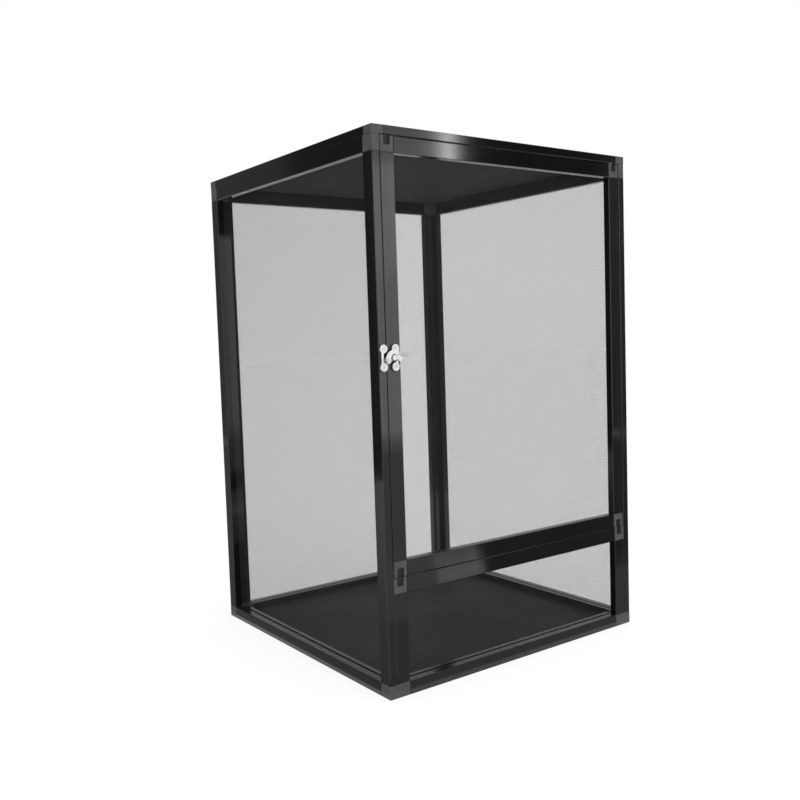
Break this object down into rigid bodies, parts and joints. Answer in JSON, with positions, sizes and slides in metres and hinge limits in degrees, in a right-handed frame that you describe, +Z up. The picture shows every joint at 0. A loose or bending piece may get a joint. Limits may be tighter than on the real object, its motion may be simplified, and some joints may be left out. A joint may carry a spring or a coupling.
{
  "type": "reptile terrarium",
  "caption": "Tall mesh reptile terrarium with a hollow metal frame, plastic corner keys, a hinged front door, a fixed lower panel and a swing-hook latch.",
  "frame": {"origin": "centre of the object's box at the level of the floor it stands on; the box includes the latch's finger tab at the front", "axes": "+Z up, -Y out of the door, +X to the right seen from the front"},
  "size_m": [0.45, 0.46, 0.7],
  "materials": {
    "frame_metal": "black anodised satin",
    "key_plastic": "moulded, fine grain",
    "screen_net": "black coated wire net",
    "spline_rubber": "matte",
    "floor_board": "fine grain",
    "latch_zinc": "polished plating",
    "pin_steel": "drawn",
    "screw_zinc": "plated",
    "screw_black": "black oxide"
  },
  "bodies": {
    "cage": {"base_front_rail": "frame_metal", "base_back_rail": "frame_metal", "base_left_rail": "frame_metal", "base_right_rail": "frame_metal", "base_cap_front_left": "key_plastic", "base_cap_front_right": "key_plastic", "base_cap_back_left": "key_plastic", "base_cap_back_right": "key_plastic", "floor_panel": "floor_board", "left_front_post": "frame_metal", "left_back_post": "frame_metal", "left_top_rail": "frame_metal", "left_corner_keys": "key_plastic", "left_screen": "screen_net", "left_spline": "spline_rubber", "right_front_post": "frame_metal", "right_back_post": "frame_metal", "right_top_rail": "frame_metal", "right_corner_keys": "key_plastic", "right_screen": "screen_net", "right_spline": "spline_rubber", "back_left_stile": "frame_metal", "back_right_stile": "frame_metal", "back_top_rail": "frame_metal", "back_corner_keys": "key_plastic", "back_screen": "screen_net", "back_spline": "spline_rubber", "lower_left_stile": "frame_metal", "lower_right_stile": "frame_metal", "lower_top_rail": "frame_metal", "lower_corner_keys": "key_plastic", "lower_screen": "screen_net", "lower_spline": "spline_rubber", "top_front_rail": "frame_metal", "top_back_rail": "frame_metal", "top_left_rail": "frame_metal", "top_right_rail": "frame_metal", "top_corner_keys": "key_plastic", "top_screen": "screen_net", "top_spline": "spline_rubber", "top_screws": "screw_black", "latch_post_plate": "latch_zinc", "latch_pivot_rivet": "latch_zinc", "latch_post_screws": "screw_zinc"},
    "door": {"door_left_stile": "frame_metal", "door_right_stile": "frame_metal", "door_top_rail": "frame_metal", "door_bottom_rail": "frame_metal", "door_key_top_left": "key_plastic", "door_key_top_right": "key_plastic", "door_key_bottom_left": "key_plastic", "door_key_bottom_right": "key_plastic", "door_screen": "screen_net", "door_spline": "spline_rubber", "hinge_pin_top": "pin_steel", "hinge_pin_bottom": "pin_steel", "latch_catch_plate": "latch_zinc", "latch_catch_screws": "screw_zinc"},
    "latch_hook": {"latch_hook": "latch_zinc"}
  },
  "joints": [
    {"name": "door_hinge", "type": "hinge", "parent": "cage", "child": "door", "pos_m": [0.2025, -0.2145, 0.42], "axis": [0, 0, 1], "range_deg": [0, 120]},
    {"name": "latch_swing", "type": "hinge", "parent": "cage", "child": "latch_hook", "pos_m": [-0.216, -0.2247, 0.42], "axis": [0, -1, 0], "range_deg": [0, 110]}
  ]
}
